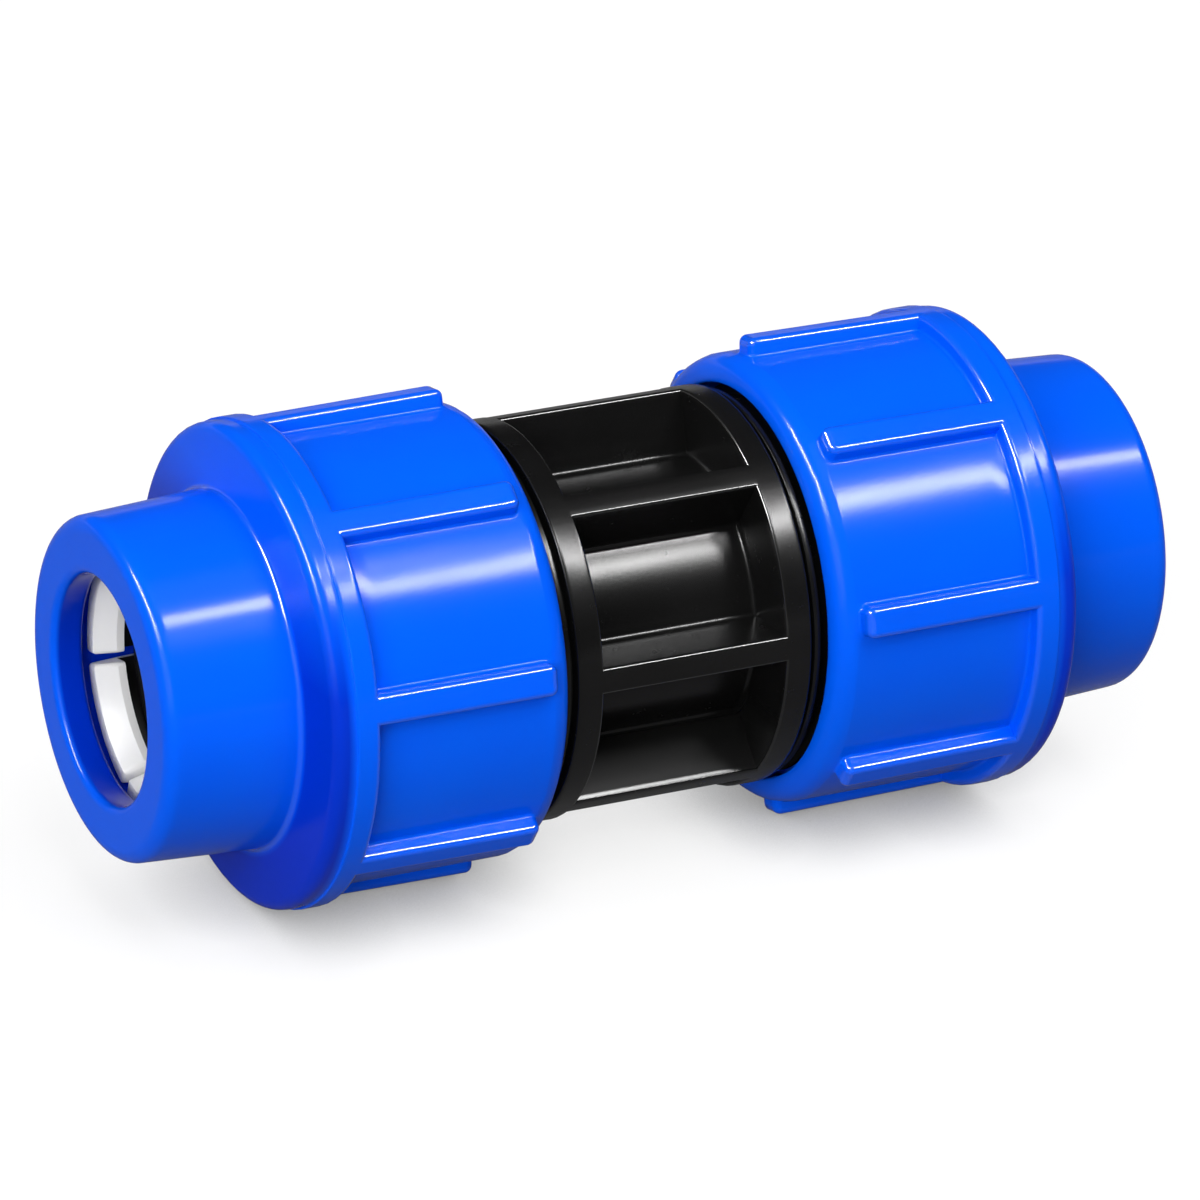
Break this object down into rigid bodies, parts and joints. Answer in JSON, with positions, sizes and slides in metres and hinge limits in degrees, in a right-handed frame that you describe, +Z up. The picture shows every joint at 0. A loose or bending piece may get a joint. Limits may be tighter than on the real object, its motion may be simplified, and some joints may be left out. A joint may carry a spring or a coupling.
{
  "type": "compression pipe coupling",
  "caption": "Straight compression coupling that joins plastic pipes end to end: ribbed screw nuts on a ribbed body, with split grip rings and seals inside.",
  "frame": {"origin": "middle of the coupling, on the pipes' common axis", "axes": "+X along the pipes' axis towards the right-hand nut, +Z up, with the coupling lying on the round collars of its nuts"},
  "size_m": [0.121, 0.054, 0.054],
  "materials": {
    "nut": "glossy injection-moulded polypropylene",
    "body": "satin injection-moulded polypropylene",
    "grip_ring": "satin moulded acetal",
    "bush": "satin injection-moulded polypropylene",
    "seal": "smooth moulded rubber"
  },
  "bodies": {
    "root": {"body": "body", "left_bush": "bush", "right_bush": "bush", "left_o_ring": "seal", "right_o_ring": "seal"},
    "left_grip": {"left_grip_ring": "grip_ring"},
    "left_nut": {"left_nut": "nut"},
    "right_grip": {"right_grip_ring": "grip_ring"},
    "right_nut": {"right_nut": "nut"}
  },
  "joints": [
    {"name": "left_nut_travel", "type": "slide", "parent": "root", "child": "left_grip", "axis": [-1, 0, 0], "range_m": [-0.00151, 0.02301]},
    {"name": "left_nut_turn", "type": "hinge", "parent": "left_grip", "child": "left_nut", "pos_m": [-0.038, 0, 0], "axis": [-1, 0, 0], "range_deg": [-135, 2070]},
    {"name": "right_nut_travel", "type": "slide", "parent": "root", "child": "right_grip", "axis": [1, 0, 0], "range_m": [-0.00151, 0.02301]},
    {"name": "right_nut_turn", "type": "hinge", "parent": "right_grip", "child": "right_nut", "pos_m": [0.038, 0, 0], "axis": [1, 0, 0], "range_deg": [-135, 2070]}
  ],
  "couplings": [
    {"joint": "left_nut_travel", "follows": "left_nut_turn", "m_per_rad": 0.00063662},
    {"joint": "right_nut_travel", "follows": "right_nut_turn", "m_per_rad": 0.00063662}
  ]
}
